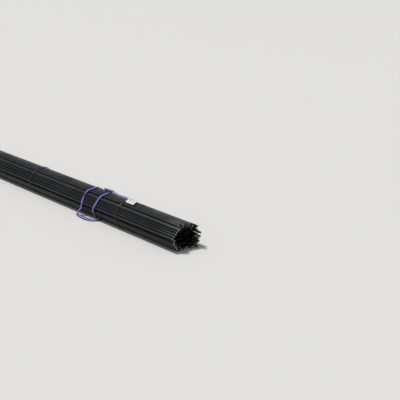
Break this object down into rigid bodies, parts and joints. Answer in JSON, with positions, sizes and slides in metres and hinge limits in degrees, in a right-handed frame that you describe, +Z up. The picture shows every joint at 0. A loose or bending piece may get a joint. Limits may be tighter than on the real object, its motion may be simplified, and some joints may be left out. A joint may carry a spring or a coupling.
{
  "type": "rebar bundle",
  "caption": "Long bundle of dark ribbed steel reinforcing bars with staggered ends, bound with wire ties and choked in two violet webbing slings with blank tags.",
  "frame": {"origin": "on the ground under the middle of the whole outline, slings included", "axes": "+X along the bars towards the end that the picture shows, +Z up, +Y across the bundle"},
  "size_m": [6.2402, 0.334, 0.2346],
  "materials": {
    "bar_steel": "dark mill scale, dull, with dusty tops and a little rust",
    "tie_wire": "dull drawn wire, lightly rusted",
    "webbing": "woven violet polyester webbing, faded",
    "tag_paper": "crumpled blank white tag"
  },
  "bodies": {
    "root": {"bars_course_01": "bar_steel", "bars_course_02": "bar_steel", "bars_course_03": "bar_steel", "bars_course_04": "bar_steel", "bars_course_05": "bar_steel", "bars_course_06": "bar_steel", "bars_course_07": "bar_steel", "bars_course_08": "bar_steel", "bars_course_09": "bar_steel", "bars_course_10": "bar_steel", "bars_course_11": "bar_steel", "bars_course_12": "bar_steel", "tie_1": "tie_wire", "tie_2": "tie_wire", "tie_3": "tie_wire", "tie_4": "tie_wire", "tie_5": "tie_wire", "sling_near": "webbing", "sling_far": "webbing", "tag_near": "tag_paper", "tag_far": "tag_paper"}
  },
  "joints": []
}
